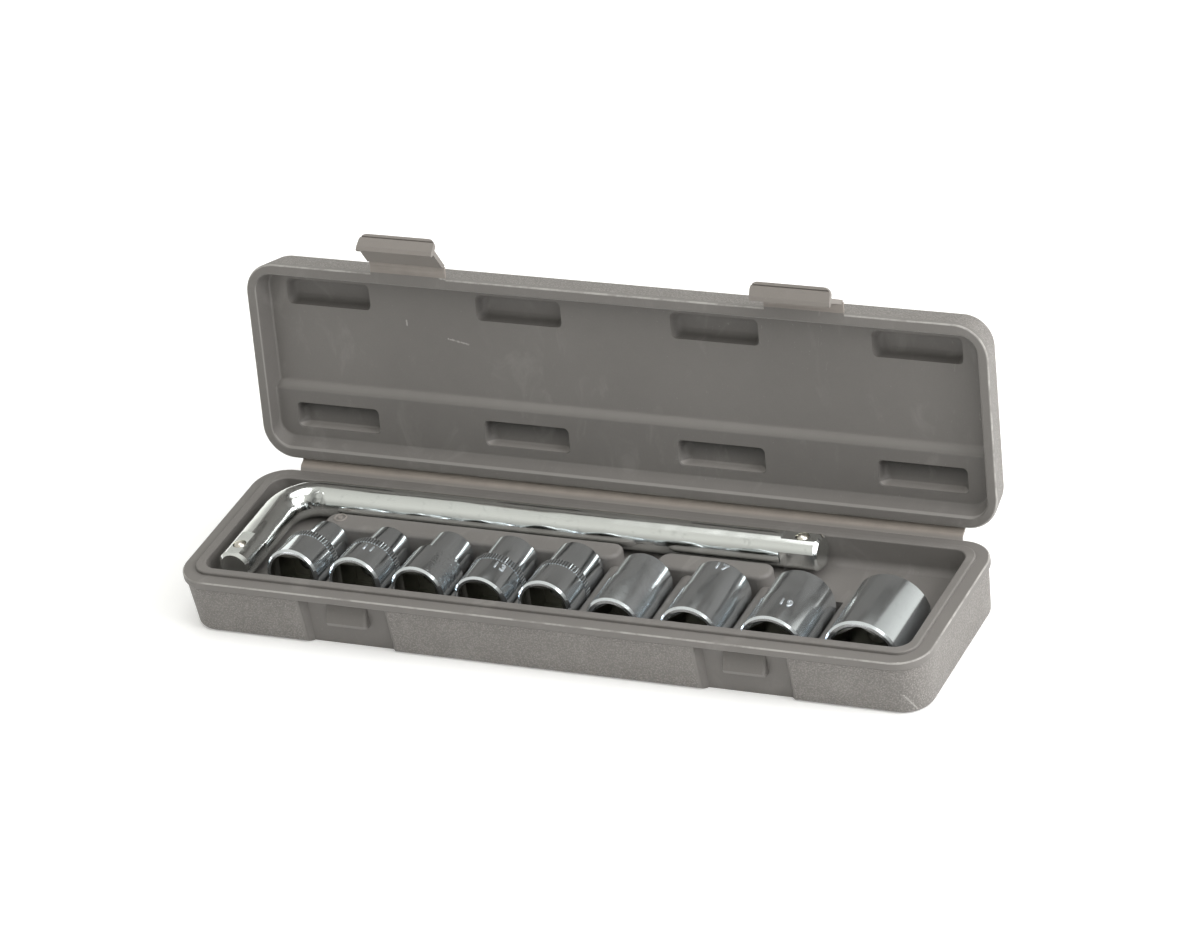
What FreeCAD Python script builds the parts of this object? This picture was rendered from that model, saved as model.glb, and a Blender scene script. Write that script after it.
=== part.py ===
import FreeCAD, Part
import math
import os

# Socket wrench set in a hinged carrying case.
# Millimetres, +Z up, +X along the case to the right, +Y towards the hinge.
# The origin is the middle of the case's underside.
# The lid and the latches are modelled shut, where they fit, and then swung open.

# Sockets: size across the hexagon, outside at the open end that faces the front, outside at the
# far end, height of the underside in the tray, lean of the far end downwards, end that faces front
SOCKETS = (
    (10.0, 22.0, 15.5, 8.0, 6.5, "drive"),
    (11.0, 22.0, 16.0, 8.0, 5.5, "drive"),
    (12.0, 22.0, 17.0, 8.0, 3.0, "drive"),
    (13.0, 22.0, 18.5, 8.0, 0.0, "drive"),
    (14.0, 22.0, 20.0, 8.0, 3.5, "drive"),
    (15.0, 22.0, 21.0, 8.0, 0.0, "hexagon"),
    (17.0, 24.0, 23.4, 6.0, 0.0, "hexagon"),
    (19.0, 26.0, 25.4, 4.0, 0.0, "hexagon"),
    (22.0, 30.0, 30.0, 2.3, 0.0, "hexagon"),
)
SOCKET_LENGTH = 32.5
SOCKET_STEP = 17.0
SOCKET_STEP_CONE = 1.6
SOCKET_EDGE = 0.8
DRIVE_SQUARE = 12.7
DRIVE_PLAY = 0.2
DRIVE_DEPTH = 13.5
DRIVE_RIM = 1.7
DRIVE_COUNTERBORE = 2.6
HEXAGON_PLAY = 0.2
HEXAGON_DEPTH = 15.0
HEXAGON_LEAD = 1.0
SOCKET_THROUGH_BORE = 8.0

# Wrench: a round bar bent into an L, with a square drive and a sprung ball at both ends
BAR = 13.8
BAR_BEND = 14.0
LONG_LEG = 230.0
SHORT_LEG = 58.5
SQUARE_LENGTH = 15.0
SQUARE_CHAMFER = 1.2
BALL = 5.2
BALL_PLAY = 0.05
BALL_PROUD = 1.0
BALL_FROM_END = 7.2
BALL_HOLE_DEPTH = 9.2
SPRING_WIRE = 0.7
SPRING_TURNS = 4
SPRING_PLAY = 0.15

# Case rim: an outer flange, and inside it a lip that the lid closes over
FLANGE_HEIGHT = 3.4
FLANGE_OVERHANG = 0.9
FLANGE_EDGE = 0.8
LIP_HEIGHT = 1.3
LIP_PLAY = 1.0
LIP_EDGE = 0.6
RIM_FRONT = 8.8
RIM_BACK = 8.2
RIM_SIDE = 8.8
LID_RIM = 4.3
LID_RIM_BACK = 4.2
CORNER = 13.0
OPENING_CORNER = 6.0

# Case base
BASE_HEIGHT = 24.0
BASE_DRAFT = 1.6
BASE_BOTTOM_EDGE = 2.2

# Tray: seats for the sockets in front, a ridge, and the wrench channel along the back and the left
SEAT_PLAY = 0.4
SEAT_FLOOR_BACK = 1.0
SMALL_GAP = 4.6
LARGE_GAP = 7.8
LARGE_FROM = [socket[5] for socket in SOCKETS].index("hexagon")
STEPPED_SETBACK = 6.2
STRAIGHT_SETBACK = 2.4
RIB_FULLNESS = 0.62
END_LEDGE_ANGLE = 20.0
SHELF_HEIGHT = 15.1
SHELF_PLAY = 0.3
SHELF_FILLET = 3.0
CORNER_FLOOR = 13.2
LEG_MARGIN = 4.3
LEG_PLAY = 0.5
LEG_LEDGE = 5.6
ROW_MARGIN = 4.0
RIDGE = 10.1
RIDGE_LEFT_SETBACK = 12.6
RIDGE_TOP = 22.0
RIDGE_LOW_TOP = 20.4
RIDGE_EDGE = 1.5
RIDGE_CORNER = 4.6

# Lid
LID_PARTING = 0.3
LID_DEPTH = 16.5
LID_DRAFT = 1.6
LID_END_DRAFT = 3.6
LID_RIM_EDGE = 0.9
LID_TOP_EDGE = 4.0
DISH_FRONT = 8.5
DISH_BACK = 5.5
DISH_STEP = 27.2
DISH_STEP_SLOPE = 2.4
DISH_DRAFT = 1.4
DISH_BACK_DRAFT = 5.0
DISH_EDGE = 0.9
DISH_CORNER = 7.5
DISH_MOUTH_EDGE = 0.7
POCKET_WIDTH = 36.0
POCKET_DEEP = 10.5
POCKET_DEPTH = 4.6
POCKET_TAPER = 1.4
POCKET_MOUTH_CORNER = 1.0
POCKET_FLOOR_CORNER = 3.0
POCKET_FLOOR_EDGE = 2.2
POCKET_PITCH = 81.7
POCKET_COUNT = 4
POCKET_BACK_ROW = 11.3
POCKET_FRONT_ROW = 8.8
LID_OPEN_ANGLE = 99.4

# Film hinge: two thin leaves that meet behind the shut case and fold there, bevelled to fold back too
HINGE_OUT = 2.2
HINGE_UP = 1.9
HINGE_LENGTH = 278.0
LEAF = 0.85
LEAF_ROOT = 1.6
LEAF_BEVEL_ANGLE = 43.0
FOLD_GAP = 0.12

# Latches: a film web on the lid's front edge, and a flap with a hook that catches a lug on the base
LATCH_SPACING = 164.0
LATCH_WIDTH = 32.0
WEB = 0.9
WEB_BEVEL = 0.5
WEB_LENGTH = 4.3
WEB_STAND_OFF = 0.6
FILM_GAP = 0.1
FLAP_LENGTH = 12.8
FLAP = 1.8
FLAP_ROOT_BEVEL = 1.2
FINGER_LIP = 4.7
FINGER_LIP_THICKNESS = 1.9
FINGER_LIP_CORNER = 3.0
FLAP_END_EDGE = 0.5
FLAP_GROOVE = 0.6
FLAP_GROOVE_FROM_EDGE = 1.0
HOOK = 1.6
HOOK_TOP = 0.9
HOOK_RISE = 2.2
LATCH_LEFT_BEND = 38.0
LATCH_RIGHT_BEND = 66.0

# Latch recesses and lugs on the base's front
RECESS_WIDTH = 36.6
RECESS_DEPTH = 5.0
RECESS_FLARE = 1.6
RECESS_EDGE = 1.1
RECESS_EDGE_LEFT_OFF = 0.06
RECESS_TOP_FILLET = 3.4
LUG_WIDTH = 17.4
LUG_FACE = 1.2
LUG_BOTTOM = 9.5
LUG_TOP = 18.8
LUG_BEVEL = 1.8
LUG_EDGE = 1.2

# Sizes that follow from the contents
BAR_RADIUS = BAR / 2
LEG_CHANNEL = LEG_MARGIN + BAR + LEG_PLAY
BACK_CHANNEL = BAR + 2 * SHELF_PLAY
BAY_DEPTH = STEPPED_SETBACK + SOCKET_LENGTH + SEAT_FLOOR_BACK
LEG_NEED = SHORT_LEG + 2 * SHELF_PLAY
OPENING_DEPTH = max(BAY_DEPTH + RIDGE + BACK_CHANNEL, LEG_NEED)
CASE_DEPTH = RIM_FRONT + OPENING_DEPTH + RIM_BACK


def gap_after(index):
    """Free width in the tray between a socket and the next one."""
    return LARGE_GAP if index + 1 >= LARGE_FROM else SMALL_GAP


ROW_GAPS = sum(gap_after(index) for index in range(len(SOCKETS) - 1))
ROW_LENGTH = sum(socket[1] for socket in SOCKETS) + ROW_GAPS + 2 * SEAT_PLAY
ROW_NEED = LEG_CHANNEL + LEG_LEDGE + ROW_LENGTH + ROW_MARGIN
BAR_NEED = LEG_MARGIN + LONG_LEG + LEG_PLAY
OPENING_LENGTH = max(ROW_NEED, BAR_NEED)
CASE_LENGTH = OPENING_LENGTH + 2 * RIM_SIDE

X_END = CASE_LENGTH / 2
Y_FRONT = -CASE_DEPTH / 2
Y_BACK = CASE_DEPTH / 2
X_IN = X_END - RIM_SIDE
Y_IN_FRONT = Y_FRONT + RIM_FRONT
Y_IN_BACK = Y_BACK - RIM_BACK
Y_BAY_BACK = Y_IN_FRONT + BAY_DEPTH
Y_CHANNEL = Y_IN_BACK - BACK_CHANNEL
X_LEG_SIDE = -X_IN + LEG_CHANNEL
Z_PARTING = BASE_HEIGHT + LID_PARTING
HINGE = FreeCAD.Vector(0, Y_BACK + HINGE_OUT, BASE_HEIGHT + HINGE_UP)
NEAR = 1e-4
X_AXIS = FreeCAD.Vector(1, 0, 0)
Y_AXIS = FreeCAD.Vector(0, 1, 0)
Z_AXIS = FreeCAD.Vector(0, 0, 1)

# Wrench axis: it lies on the shelf, its long leg by the back wall and its short leg by the left one
BAR_Z = SHELF_HEIGHT + SHELF_PLAY + BAR_RADIUS
BAR_Y = Y_IN_BACK - SHELF_PLAY - BAR_RADIUS
LEG_X = -X_IN + LEG_MARGIN + BAR_RADIUS
LONG_END = LEG_X - BAR_RADIUS + LONG_LEG
SHORT_END = BAR_Y + BAR_RADIUS - SHORT_LEG
FLAT_Z = BAR_Z + DRIVE_SQUARE / 2

# Latch fold lines, with the lid and the latch shut
WEB_FOLD = FreeCAD.Vector(0, Y_FRONT - WEB_STAND_OFF, Z_PARTING)
FLAP_FOLD = FreeCAD.Vector(0, Y_FRONT - WEB_STAND_OFF - WEB_LENGTH, Z_PARTING)


def point(x, y, z):
    return FreeCAD.Vector(x, y, z)


def line(start, end):
    return Part.LineSegment(start, end).toShape()


def arc(start, middle, end):
    return Part.Arc(start, middle, end).toShape()


def rounded_rectangle(x0, x1, y0, y1, radius, z):
    """Closed outline in a level plane with four round corners."""
    half = radius * (1 - math.sqrt(0.5))
    corners = (
        ((x1 - radius, y0), (x1 - half, y0 + half), (x1, y0 + radius)),
        ((x1, y1 - radius), (x1 - half, y1 - half), (x1 - radius, y1)),
        ((x0 + radius, y1), (x0 + half, y1 - half), (x0, y1 - radius)),
        ((x0, y0 + radius), (x0 + half, y0 + half), (x0 + radius, y0)),
    )
    edges = []
    for index, corner in enumerate(corners):
        start, middle, end = [point(x, y, z) for x, y in corner]
        following = point(*corners[(index + 1) % len(corners)][0], z)
        edges += [arc(start, middle, end), line(end, following)]
    return Part.Wire(edges)


def case_outline(inset, radius, z):
    """Outline of the case drawn in by an inset."""
    return rounded_rectangle(-X_END + inset, X_END - inset, Y_FRONT + inset, Y_BACK - inset, radius, z)


def upright(wire, height):
    """Solid between an outline and its copy moved along Z."""
    return Part.Face(wire).extrude(point(0, 0, height))


def tapered(lower, upper):
    """Solid between two outlines of the same kind at different heights."""
    return Part.makeLoft([lower, upper], True, True)


def profile_along_x(points, x0, x1):
    """Solid from a closed outline of (y, z) points, drawn from x0 to x1."""
    corners = [point(x0, y, z) for y, z in points]
    wire = Part.makePolygon(corners + corners[:1])
    return Part.Face(wire).extrude(point(x1 - x0, 0, 0))


def box(x0, x1, y0, y1, z0, z1):
    return Part.makeBox(x1 - x0, y1 - y0, z1 - z0, point(x0, y0, z0))


def edges_where(shape, test):
    return [edge for edge in shape.Edges if test(edge.BoundBox)]


def level_edges(shape, z):
    """Edges that lie at one height."""
    return edges_where(shape, lambda b: abs(b.ZMin - z) < NEAR and abs(b.ZMax - z) < NEAR)


def turned(shape, centre, axis, angle):
    """Copy of a shape turned about a line."""
    copy = shape.copy()
    copy.rotate(centre, axis, angle)
    return copy


def swing_open(shape):
    """Takes a piece of the shut lid to where the open lid holds it."""
    return turned(shape, HINGE, X_AXIS, -LID_OPEN_ANGLE)


def socket_places():
    """Middle of each socket along X."""
    places = []
    x = X_LEG_SIDE + LEG_LEDGE + SEAT_PLAY + SOCKETS[0][1] / 2
    for index, socket in enumerate(SOCKETS):
        if index:
            x += (SOCKETS[index - 1][1] + socket[1]) / 2 + gap_after(index - 1)
        places.append(x)
    return places


def is_stepped(socket):
    return socket[5] == "drive"


def seat_circle(index):
    """Centre in X and Z, and radius, of the round seat under a socket."""
    socket = SOCKETS[index]
    radius = socket[1] / 2
    return socket_places()[index], socket[3] + radius, radius + SEAT_PLAY


def rib_circle(left, right):
    """Round top of the rib between two seats, touching both of them."""
    x0, z0, r0 = left
    x1, z1, r1 = right
    distance = math.hypot(x1 - x0, z1 - z0)
    radius = RIB_FULLNESS * (distance - r0 - r1)
    reach0 = r0 + radius
    reach1 = r1 + radius
    along = (reach0 ** 2 - reach1 ** 2 + distance ** 2) / (2 * distance)
    aside = math.sqrt(reach0 ** 2 - along ** 2)
    ux = (x1 - x0) / distance
    uz = (z1 - z0) / distance
    return x0 + along * ux + aside * uz, z0 + along * uz - aside * ux, radius


def touching_point(circle, other):
    """Point of a circle that faces another circle's centre."""
    x, z, radius = circle
    distance = math.hypot(other[0] - x, other[1] - z)
    share = radius / distance
    return point(x + (other[0] - x) * share, 0, z + (other[1] - z) * share)


def seat_bay():
    """Hollow that holds the sockets: round seats with round ribs between them."""
    seats = [seat_circle(index) for index in range(len(SOCKETS))]
    ribs = [rib_circle(seats[index], seats[index + 1]) for index in range(len(seats) - 1)]
    first_x, first_z, first_r = seats[0]
    last_x, last_z, last_r = seats[-1]
    shelf_reach = math.sqrt(first_r ** 2 - (first_z - SHELF_HEIGHT) ** 2)
    ledge = math.radians(END_LEDGE_ANGLE)
    last_ledge_z = last_z - last_r * math.sin(ledge)
    here = point(first_x - shelf_reach, 0, SHELF_HEIGHT)
    outline_start = point(X_LEG_SIDE, 0, SHELF_HEIGHT)
    edges = [line(outline_start, here)]
    for index, seat in enumerate(seats):
        bottom = point(seat[0], 0, seat[1] - seat[2])
        if index < len(ribs):
            leave = touching_point(seat, ribs[index])
        else:
            leave = point(last_x + last_r * math.cos(ledge), 0, last_ledge_z)
        edges.append(arc(here, bottom, leave))
        here = leave
        if index < len(ribs):
            rib = ribs[index]
            land = touching_point(seats[index + 1], rib)
            top = point(rib[0], 0, rib[1] + rib[2])
            edges.append(arc(here, top, land))
            here = land
    corners = [here, point(X_IN, 0, last_ledge_z), point(X_IN, 0, BASE_HEIGHT)]
    corners += [point(X_LEG_SIDE, 0, BASE_HEIGHT), outline_start]
    for start, end in zip(corners, corners[1:]):
        edges.append(line(start, end))
    bay = Part.Face(Part.Wire(edges)).extrude(point(0, BAY_DEPTH, 0))
    bay.translate(point(0, Y_IN_FRONT, 0))
    opening = rounded_rectangle(-X_IN, X_IN, Y_IN_FRONT, Y_IN_BACK, OPENING_CORNER, 0)
    return bay.common(upright(opening, BASE_HEIGHT))


def wrench_shelf():
    """Hollow for the wrench along the left and the back, and the free corner at the right."""
    opening = rounded_rectangle(-X_IN, X_IN, Y_IN_FRONT, Y_IN_BACK, OPENING_CORNER, SHELF_HEIGHT)
    hollow = upright(opening, BASE_HEIGHT - SHELF_HEIGHT)
    hollow = hollow.makeFillet(SHELF_FILLET, level_edges(hollow, SHELF_HEIGHT))
    bay = box(X_LEG_SIDE, X_END, Y_FRONT, Y_BAY_BACK, 0, BASE_HEIGHT)
    y_free = Y_BAY_BACK - OPENING_CORNER
    free = rounded_rectangle(ridge_right(), X_IN, y_free, Y_IN_BACK, OPENING_CORNER, CORNER_FLOOR)
    corner = upright(free, BASE_HEIGHT - CORNER_FLOOR)
    corner = corner.makeFillet(SHELF_FILLET, level_edges(corner, CORNER_FLOOR))
    return hollow.cut(bay).fuse(corner)


def between_sockets(index):
    """Middle along X of the free width between a socket and the next one."""
    places = socket_places()
    right_side = places[index] + SOCKETS[index][1] / 2
    left_side = places[index + 1] - SOCKETS[index + 1][1] / 2
    return (right_side + left_side) / 2


def ridge_right():
    """Right end of the ridge, between two of the large sockets."""
    return between_sockets(LARGE_FROM + 1)


def ridge_wall(x0, x1, top):
    """Length of the ridge with round ends and a round edge along its top."""
    root = CORNER_FLOOR - SHELF_FILLET
    wall = upright(rounded_rectangle(x0, x1, Y_BAY_BACK, Y_CHANNEL, RIDGE_CORNER, root), top - root)
    return wall.makeFillet(RIDGE_EDGE, level_edges(wall, top))


def ridge():
    """Two walls between the seats and the wrench channel, with a finger gap between them."""
    left = X_LEG_SIDE + RIDGE_LEFT_SETBACK
    long_wall = ridge_wall(left, between_sockets(LARGE_FROM - 1), RIDGE_TOP)
    short_wall = ridge_wall(socket_places()[LARGE_FROM], ridge_right(), RIDGE_LOW_TOP)
    return [long_wall, short_wall]


def latch_middles():
    return (-LATCH_SPACING / 2, LATCH_SPACING / 2)


def recess_outline(middle, wall, z):
    """Level outline of a latch recess, with round edges where it leaves the front wall."""
    half = RECESS_WIDTH / 2
    mouth = half + RECESS_EDGE
    front = wall - RECESS_EDGE_LEFT_OFF
    bend = RECESS_EDGE * (1 - math.sqrt(0.5))
    side = (
        (mouth, Y_FRONT - RECESS_DEPTH),
        (mouth, front),
        (half + bend, front + bend),
        (half, front + RECESS_EDGE),
        (half - RECESS_FLARE, Y_FRONT + RECESS_DEPTH),
    )
    right = [point(middle + x, y, z) for x, y in side]
    left = [point(middle - x, y, z) for x, y in reversed(side)]
    right_edges = [line(*right[:2]), arc(*right[1:4]), line(*right[3:])]
    left_edges = [line(*left[:2]), arc(*left[1:4]), line(*left[3:])]
    return Part.Wire(right_edges + [line(right[-1], left[0])] + left_edges + [line(left[-1], right[0])])


def latch_recess(middle):
    """Hollow in the base's front wall, open downwards, that a latch hangs into."""
    top = BASE_HEIGHT - FLANGE_HEIGHT
    back = Y_FRONT + RECESS_DEPTH
    upper_wall = Y_FRONT + FLANGE_OVERHANG
    lower = recess_outline(middle, upper_wall + BASE_DRAFT, 0)
    hollow = tapered(lower, recess_outline(middle, upper_wall, top))
    rear = edges_where(hollow, lambda b: abs(b.YMin - back) < NEAR and abs(b.ZMin - top) < NEAR)
    return hollow.makeFillet(RECESS_TOP_FILLET, rear)


def latch_lug(middle):
    """Lug in the recess that slopes out towards its lower edge, where the latch's hook catches."""
    face = Y_FRONT + LUG_FACE
    back = Y_FRONT + RECESS_DEPTH
    root = back + 2 * LUG_EDGE
    low = LUG_BOTTOM + LUG_BEVEL
    points = (
        (root, LUG_TOP),
        (back, LUG_TOP),
        (face, low),
        (face + LUG_BEVEL / 2, LUG_BOTTOM),
        (root, LUG_BOTTOM),
    )
    lug = profile_along_x(points, middle - LUG_WIDTH / 2, middle + LUG_WIDTH / 2)
    sides = edges_where(lug, lambda b: b.XLength < NEAR and b.YMin < back - NEAR and b.YMax < root - NEAR)
    return lug.makeFillet(LUG_EDGE, sides)


def case_base():
    """Base of the case: outer shell with flange, lip, latch recesses, lugs and the moulded tray."""
    inset = FLANGE_OVERHANG + BASE_DRAFT
    bottom = case_outline(inset, CORNER - inset, 0)
    shoulder = BASE_HEIGHT - FLANGE_HEIGHT
    top = case_outline(FLANGE_OVERHANG, CORNER - FLANGE_OVERHANG, shoulder)
    shell = tapered(bottom, top)
    shell = shell.makeFillet(BASE_BOTTOM_EDGE, level_edges(shell, 0))
    flange = upright(case_outline(0, CORNER, shoulder), FLANGE_HEIGHT)
    flange = flange.makeFillet(FLANGE_EDGE, level_edges(flange, BASE_HEIGHT) + level_edges(flange, shoulder))
    shell = shell.fuse(flange)
    for middle in latch_middles():
        shell = shell.cut(latch_recess(middle))
        shell = shell.fuse(latch_lug(middle))
    shell = shell.cut(seat_bay()).cut(wrench_shelf())
    return shell.fuse(ridge() + [rim_lip()]).removeSplitter()


def rim_lip():
    """Lip that stands on the rim around the tray and reaches into the lid."""
    out = LID_RIM + LIP_PLAY
    out_back = LID_RIM_BACK + LIP_PLAY
    radius = CORNER - out
    x_out = X_END - out
    outer = rounded_rectangle(-x_out, x_out, Y_FRONT + out, Y_BACK - out_back, radius, BASE_HEIGHT)
    inner = rounded_rectangle(-X_IN, X_IN, Y_IN_FRONT, Y_IN_BACK, OPENING_CORNER, BASE_HEIGHT)
    lip = upright(outer, LIP_HEIGHT).cut(upright(inner, LIP_HEIGHT))
    return lip.makeFillet(LIP_EDGE, level_edges(lip, BASE_HEIGHT + LIP_HEIGHT))


def lid_dish():
    """Hollow of the lid: deep over the sockets, shallower over the wrench."""
    front = Y_FRONT
    step = Y_BACK - DISH_STEP
    floor_front = Z_PARTING + DISH_FRONT
    floor_back = Z_PARTING + DISH_BACK
    points = (
        (front, Z_PARTING),
        (front, floor_front),
        (step - DISH_STEP_SLOPE, floor_front),
        (step, floor_back),
        (Y_BACK, floor_back),
        (Y_BACK, Z_PARTING),
    )
    body = profile_along_x(points, -X_END, X_END)
    x_rim = X_END - LID_RIM
    y0 = Y_FRONT + LID_RIM
    y1 = Y_BACK - LID_RIM_BACK
    x_floor = x_rim - DISH_DRAFT
    y0_floor = y0 + DISH_DRAFT
    y1_floor = y1 - DISH_BACK_DRAFT
    mouth = rounded_rectangle(-x_rim, x_rim, y0, y1, DISH_CORNER, Z_PARTING)
    floor = rounded_rectangle(-x_floor, x_floor, y0_floor, y1_floor, DISH_CORNER - DISH_DRAFT, floor_front)
    dish = body.common(tapered(mouth, floor))
    inner = edges_where(dish, lambda b: b.ZMin > Z_PARTING + LID_PARTING and b.ZLength < NEAR)
    return dish.makeFillet(DISH_EDGE, inner)


def dish_mouth(shell):
    """Edges round the mouth of the lid's hollow."""
    x_rim = X_END - LID_RIM + NEAR
    y0 = Y_FRONT + LID_RIM - NEAR
    y1 = Y_BACK - LID_RIM_BACK + NEAR

    def on_mouth(b):
        return b.XMin > -x_rim and b.XMax < x_rim and b.YMin > y0 and b.YMax < y1

    return [edge for edge in level_edges(shell, Z_PARTING) if on_mouth(edge.BoundBox)]


def lid_pocket(x, y0, depth_floor):
    """Tapered pocket in the lid's panel, with a round edge along its floor."""
    half = POCKET_WIDTH / 2
    y1 = y0 + POCKET_DEEP
    t = POCKET_TAPER
    panel = Z_PARTING + depth_floor
    high = panel - POCKET_DEPTH
    deep = panel + POCKET_DEPTH
    mouth = rounded_rectangle(x - half - t, x + half + t, y0 - t, y1 + t, POCKET_MOUTH_CORNER, high)
    floor = rounded_rectangle(x - half + t, x + half - t, y0 + t, y1 - t, POCKET_FLOOR_CORNER, deep)
    pocket = tapered(mouth, floor)
    return pocket.makeFillet(POCKET_FLOOR_EDGE, level_edges(pocket, deep))


def lid_pockets():
    """Two rows of pockets, one by the hinge and one by the front."""
    pockets = []
    back_row = Y_BACK - POCKET_BACK_ROW - POCKET_DEEP
    front_row = Y_FRONT + POCKET_FRONT_ROW
    for index in range(POCKET_COUNT):
        x = (index - (POCKET_COUNT - 1) / 2) * POCKET_PITCH
        pockets.append(lid_pocket(x, back_row, DISH_BACK))
        pockets.append(lid_pocket(x, front_row, DISH_FRONT))
    return pockets


def web_root(middle):
    """Edge of the lid's rim that carries a latch's film web."""
    half = LATCH_WIDTH / 2
    y = WEB_FOLD.y + FILM_GAP
    rim = Y_FRONT + LID_RIM_EDGE + WEB_BEVEL
    top = Z_PARTING + WEB
    points = ((y, Z_PARTING), (y + WEB_BEVEL, top), (rim, top), (rim, Z_PARTING))
    return profile_along_x(points, middle - half, middle + half)


def shut_lid():
    """Lid as it lies on the base."""
    top_z = Z_PARTING + LID_DEPTH
    x_top = X_END - LID_END_DRAFT
    lower = case_outline(0, CORNER, Z_PARTING)
    y0 = Y_FRONT + LID_DRAFT
    y1 = Y_BACK - LID_DRAFT
    upper = rounded_rectangle(-x_top, x_top, y0, y1, CORNER - LID_DRAFT, top_z)
    shell = tapered(lower, upper)
    shell = shell.makeFillet(LID_TOP_EDGE, level_edges(shell, top_z))
    shell = shell.makeFillet(LID_RIM_EDGE, level_edges(shell, Z_PARTING))
    shell = shell.fuse([web_root(middle) for middle in latch_middles()])
    shell = shell.cut(lid_dish())
    shell = shell.makeFillet(DISH_MOUTH_EDGE, dish_mouth(shell))
    return shell.cut(lid_pockets()).removeSplitter()


def hinge_leaf(side, shell):
    """Half of the film hinge on its shell, below the fold (side -1) or above it (side 1), shut."""
    root = point(0, Y_BACK, HINGE.z + side * HINGE_UP)
    length = (root - HINGE).Length + LEAF_ROOT
    along = (root - HINGE).normalize()
    outward = point(0, along.z, -along.y) * (side * LEAF)
    near = HINGE + along * FOLD_GAP
    bevel = along * (LEAF * math.tan(math.radians(LEAF_BEVEL_ANGLE)))
    far = HINGE + along * length
    corners = (near, near + bevel + outward, far + outward, far)
    leaf = profile_along_x([(corner.y, corner.z) for corner in corners], -HINGE_LENGTH / 2, HINGE_LENGTH / 2)
    return leaf.cut(shell)


def flat_web(middle):
    """Film web of a latch, level with the lid's rim as it is moulded."""
    half = LATCH_WIDTH / 2
    y1 = WEB_FOLD.y - FILM_GAP
    y0 = FLAP_FOLD.y + FILM_GAP
    top = Z_PARTING + WEB
    points = ((y1, Z_PARTING), (y1 - WEB_BEVEL, top), (y0, top), (y0, Z_PARTING))
    return profile_along_x(points, middle - half, middle + half)


def flat_flap(middle):
    """Latch flap with its finger lip and hook, level with the lid's rim as it is moulded."""
    root = FLAP_FOLD.y - FILM_GAP
    end = FLAP_FOLD.y - FLAP_LENGTH
    lip = end + FINGER_LIP_THICKNESS
    outside = Z_PARTING + FLAP / 2
    inside = Z_PARTING - FLAP / 2
    lip_edge = Z_PARTING + FINGER_LIP
    groove = lip_edge - FLAP_GROOVE_FROM_EDGE
    points = (
        (root, Z_PARTING),
        (root, outside),
        (lip, outside),
        (lip, lip_edge),
        (end, lip_edge),
        (end, groove),
        (end + FLAP_GROOVE, groove - FLAP_GROOVE / 2),
        (end, groove - FLAP_GROOVE),
        (end, inside),
        (end + FLAP_END_EDGE, inside - HOOK),
        (end + FLAP_END_EDGE + HOOK_TOP, inside - HOOK),
        (end + HOOK_RISE, inside),
        (root - FLAP_ROOT_BEVEL, inside),
    )
    half = LATCH_WIDTH / 2
    flap = profile_along_x(points, middle - half, middle + half)
    corners = edges_where(flap, lambda b: b.XLength < NEAR and abs(b.ZMin - lip_edge) < NEAR)
    return flap.makeFillet(FINGER_LIP_CORNER, corners)


def wrench_path():
    """Line through the middle of the bent bar, from the short leg's end to the long leg's end."""
    bend = BAR_BEND
    half = bend * (1 - math.sqrt(0.5))
    start = point(LEG_X, SHORT_END, BAR_Z)
    turn = point(LEG_X, BAR_Y - bend, BAR_Z)
    middle = point(LEG_X + half, BAR_Y - half, BAR_Z)
    leave = point(LEG_X + bend, BAR_Y, BAR_Z)
    end = point(LONG_END, BAR_Y, BAR_Z)
    return Part.Wire([line(start, turn), arc(turn, middle, leave), line(leave, end)])


def square_end(length, radius):
    """Square drive at the end of a bar along X, cut from the bar with a chamfered nose."""
    nose = SQUARE_CHAMFER
    bar = Part.makeCylinder(radius, length - nose, point(0, 0, 0), X_AXIS)
    tip = Part.makeCone(radius, radius - nose, nose, point(length - nose, 0, 0), X_AXIS)
    half = DRIVE_SQUARE / 2
    return bar.fuse(tip).common(box(0, length, -half, half, -half, half))


def ball_places():
    """Where the sprung balls stand on the upper flats, at the long and the short leg's end."""
    return (
        point(LONG_END - BALL_FROM_END, BAR_Y, FLAT_Z),
        point(LEG_X, SHORT_END + BALL_FROM_END, FLAT_Z),
    )


def wrench_bar():
    """Bent bar with its two square ends and the holes for the balls."""
    start = point(LEG_X, SHORT_END, BAR_Z)
    section = Part.Wire([Part.makeCircle(BAR_RADIUS, start, Y_AXIS)])
    bar = wrench_path().makePipeShell([section], True, False)
    trim = DRIVE_SQUARE
    bar = bar.cut(box(LONG_END - SQUARE_LENGTH, LONG_END + trim, BAR_Y - trim, BAR_Y + trim, 0, 2 * BAR_Z))
    bar = bar.cut(box(LEG_X - trim, LEG_X + trim, SHORT_END - trim, SHORT_END + SQUARE_LENGTH, 0, 2 * BAR_Z))
    long_square = square_end(SQUARE_LENGTH, BAR_RADIUS)
    long_square.translate(point(LONG_END - SQUARE_LENGTH, BAR_Y, BAR_Z))
    short_square = turned(square_end(SQUARE_LENGTH, BAR_RADIUS), point(0, 0, 0), Z_AXIS, -90)
    short_square.translate(point(LEG_X, SHORT_END + SQUARE_LENGTH, BAR_Z))
    bar = bar.fuse([long_square, short_square])
    for place in ball_places():
        hole = Part.makeCylinder(BALL / 2 + BALL_PLAY, BALL_HOLE_DEPTH, place, Z_AXIS * -1)
        bar = bar.cut(hole)
    return bar.removeSplitter()


def detent_ball(place):
    """Ball that stands a little proud of the flat."""
    return Part.makeSphere(BALL / 2, place + Z_AXIS * (BALL_PROUD - BALL / 2))


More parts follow.
